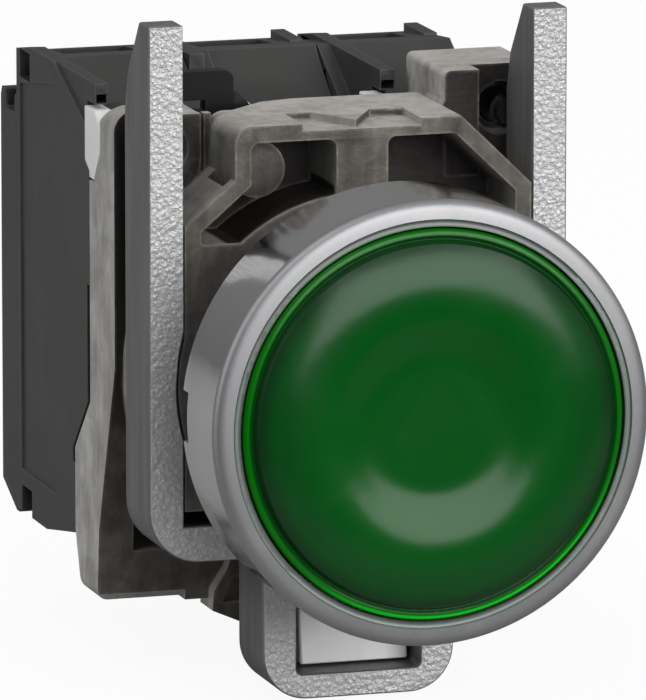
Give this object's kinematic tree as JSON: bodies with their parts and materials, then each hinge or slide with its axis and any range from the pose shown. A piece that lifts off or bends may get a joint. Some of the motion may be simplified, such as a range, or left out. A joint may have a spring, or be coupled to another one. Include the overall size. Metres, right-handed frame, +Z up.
{
  "type": "illuminated push button",
  "caption": "Panel push button with a round green lens in a chromed bezel, a cast clamping collar with a U-shaped yoke, and stacked terminal blocks behind.",
  "frame": {"origin": "on the button's axis, in the plane of the bezel's seat on the panel", "axes": "+X right seen from the front, +Y back through the panel, +Z up"},
  "size_m": [0.0308, 0.0572, 0.0477],
  "materials": {
    "satin_chrome": "satin",
    "bright_chrome": "polished",
    "black_rubber": "matte",
    "green_lens": "glossy translucent",
    "grey_plastic": "moulded",
    "white_plastic": "moulded",
    "spring_steel": "drawn wire and sheet",
    "cast_zinc": "raw die cast zinc alloy",
    "smooth_zinc": "smooth die cast zinc alloy",
    "textured_zinc": "sand textured die cast zinc alloy",
    "zinc_steel": "zinc plated",
    "dark_steel": "black oxide",
    "black_plastic": "moulded",
    "clear_lamp": "clear",
    "board_green": "solder resist",
    "block_plastic": "moulded, slight sheen",
    "latch_plastic": "moulded",
    "brass_strip": "stamped"
  },
  "bodies": {
    "housing": {"front_ring": "satin_chrome", "bezel": "bright_chrome", "seat_gasket": "black_rubber", "return_spring": "spring_steel", "collar_body": "cast_zinc", "yoke_guide": "smooth_zinc", "lamp": "clear_lamp", "lamp_holder": "white_plastic", "circuit_board": "board_green", "left_housing": "block_plastic", "left_cover": "block_plastic", "left_latch": "latch_plastic", "left_upper_contact": "brass_strip", "left_lower_contact": "brass_strip", "middle_housing": "block_plastic", "middle_cover": "block_plastic", "middle_latch": "latch_plastic", "middle_upper_contact": "brass_strip", "middle_lower_contact": "brass_strip", "right_housing": "block_plastic", "right_cover": "block_plastic", "right_latch": "latch_plastic", "right_upper_contact": "brass_strip", "right_lower_contact": "brass_strip", "left_plunger_spring": "spring_steel", "right_plunger_spring": "spring_steel"},
    "pusher": {"lens_cap": "green_lens", "pusher_head": "grey_plastic", "pusher_stem": "grey_plastic", "diffuser": "white_plastic"},
    "yoke": {"clamp_yoke": "textured_zinc"},
    "left_clamp_screw": {"left_clamp_screw": "dark_steel"},
    "right_clamp_screw": {"right_clamp_screw": "dark_steel"},
    "lock": {"locking_ring": "spring_steel", "locking_lever": "black_plastic"},
    "left_upper_clamp": {"left_upper_clamp": "zinc_steel"},
    "left_upper_screw": {"left_upper_screw": "zinc_steel"},
    "left_lower_clamp": {"left_lower_clamp": "zinc_steel"},
    "left_lower_screw": {"left_lower_screw": "zinc_steel"},
    "middle_upper_clamp": {"middle_upper_clamp": "zinc_steel"},
    "middle_upper_screw": {"middle_upper_screw": "zinc_steel"},
    "middle_lower_clamp": {"middle_lower_clamp": "zinc_steel"},
    "middle_lower_screw": {"middle_lower_screw": "zinc_steel"},
    "right_upper_clamp": {"right_upper_clamp": "zinc_steel"},
    "right_upper_screw": {"right_upper_screw": "zinc_steel"},
    "right_lower_clamp": {"right_lower_clamp": "zinc_steel"},
    "right_lower_screw": {"right_lower_screw": "zinc_steel"},
    "left_plunger": {"left_plunger": "latch_plastic", "left_bridge": "brass_strip", "left_bridge_spring": "spring_steel"},
    "right_plunger": {"right_plunger": "latch_plastic", "right_bridge": "brass_strip", "right_bridge_spring": "spring_steel"}
  },
  "joints": [
    {"name": "pusher_slide", "type": "slide", "parent": "housing", "child": "pusher", "axis": [0, 1, 0], "range_m": [0, 0.0043], "stiffness_N_per_m": 450, "springref_m": -0.003, "deforming": ["return_spring"]},
    {"name": "yoke_slide", "type": "slide", "parent": "housing", "child": "yoke", "axis": [0, -1, 0], "range_m": [0, 0.0075]},
    {"name": "lock_turn", "type": "hinge", "parent": "housing", "child": "lock", "pos_m": [0, 0.0202, 0], "axis": [0, 1, 0], "range_deg": [0, 35]},
    {"name": "left_clamp_screw_turn", "type": "hinge", "parent": "yoke", "child": "left_clamp_screw", "pos_m": [-0.0123, 0.018, 0.0156], "axis": [0, -1, 0], "range_deg": [0, 6001]},
    {"name": "right_clamp_screw_turn", "type": "hinge", "parent": "yoke", "child": "right_clamp_screw", "pos_m": [0.0129, 0.018, 0.0169], "axis": [0, -1, 0], "range_deg": [0, 6001]},
    {"name": "left_upper_clamp_slide", "type": "slide", "parent": "housing", "child": "left_upper_clamp", "axis": [0, -1, 0], "range_m": [0, 0.0025]},
    {"name": "left_upper_screw_turn", "type": "hinge", "parent": "left_upper_clamp", "child": "left_upper_screw", "pos_m": [-0.01, 0.042, 0.0104], "axis": [0, -1, 0], "range_deg": [0, 1801]},
    {"name": "left_lower_clamp_slide", "type": "slide", "parent": "housing", "child": "left_lower_clamp", "axis": [0, -1, 0], "range_m": [0, 0.0025]},
    {"name": "left_lower_screw_turn", "type": "hinge", "parent": "left_lower_clamp", "child": "left_lower_screw", "pos_m": [-0.01, 0.042, -0.0102], "axis": [0, -1, 0], "range_deg": [0, 1801]},
    {"name": "middle_upper_clamp_slide", "type": "slide", "parent": "housing", "child": "middle_upper_clamp", "axis": [0, -1, 0], "range_m": [0, 0.0025]},
    {"name": "middle_upper_screw_turn", "type": "hinge", "parent": "middle_upper_clamp", "child": "middle_upper_screw", "pos_m": [0, 0.042, 0.0104], "axis": [0, -1, 0], "range_deg": [0, 1801]},
    {"name": "middle_lower_clamp_slide", "type": "slide", "parent": "housing", "child": "middle_lower_clamp", "axis": [0, -1, 0], "range_m": [0, 0.0025]},
    {"name": "middle_lower_screw_turn", "type": "hinge", "parent": "middle_lower_clamp", "child": "middle_lower_screw", "pos_m": [0, 0.042, -0.0102], "axis": [0, -1, 0], "range_deg": [0, 1801]},
    {"name": "right_upper_clamp_slide", "type": "slide", "parent": "housing", "child": "right_upper_clamp", "axis": [0, -1, 0], "range_m": [0, 0.0025]},
    {"name": "right_upper_screw_turn", "type": "hinge", "parent": "right_upper_clamp", "child": "right_upper_screw", "pos_m": [0.01, 0.042, 0.0104], "axis": [0, -1, 0], "range_deg": [0, 1801]},
    {"name": "right_lower_clamp_slide", "type": "slide", "parent": "housing", "child": "right_lower_clamp", "axis": [0, -1, 0], "range_m": [0, 0.0025]},
    {"name": "right_lower_screw_turn", "type": "hinge", "parent": "right_lower_clamp", "child": "right_lower_screw", "pos_m": [0.01, 0.042, -0.0102], "axis": [0, -1, 0], "range_deg": [0, 1801]},
    {"name": "left_plunger_slide", "type": "slide", "parent": "housing", "child": "left_plunger", "axis": [0, 1, 0], "range_m": [0, 0.0043], "deforming": ["left_plunger_spring"]},
    {"name": "right_plunger_slide", "type": "slide", "parent": "housing", "child": "right_plunger", "axis": [0, 1, 0], "range_m": [0, 0.0043], "deforming": ["right_plunger_spring"]}
  ],
  "couplings": [
    {"joint": "left_clamp_screw_turn", "follows": "yoke_slide", "rad_per_m": 13963},
    {"joint": "right_clamp_screw_turn", "follows": "yoke_slide", "rad_per_m": 13963},
    {"joint": "left_upper_screw_turn", "follows": "left_upper_clamp_slide", "rad_per_m": 12566},
    {"joint": "left_lower_screw_turn", "follows": "left_lower_clamp_slide", "rad_per_m": 12566},
    {"joint": "middle_upper_screw_turn", "follows": "middle_upper_clamp_slide", "rad_per_m": 12566},
    {"joint": "middle_lower_screw_turn", "follows": "middle_lower_clamp_slide", "rad_per_m": 12566},
    {"joint": "right_upper_screw_turn", "follows": "right_upper_clamp_slide", "rad_per_m": 12566},
    {"joint": "right_lower_screw_turn", "follows": "right_lower_clamp_slide", "rad_per_m": 12566},
    {"joint": "left_plunger_slide", "follows": "pusher_slide", "ratio": 1},
    {"joint": "right_plunger_slide", "follows": "pusher_slide", "ratio": 1}
  ]
}
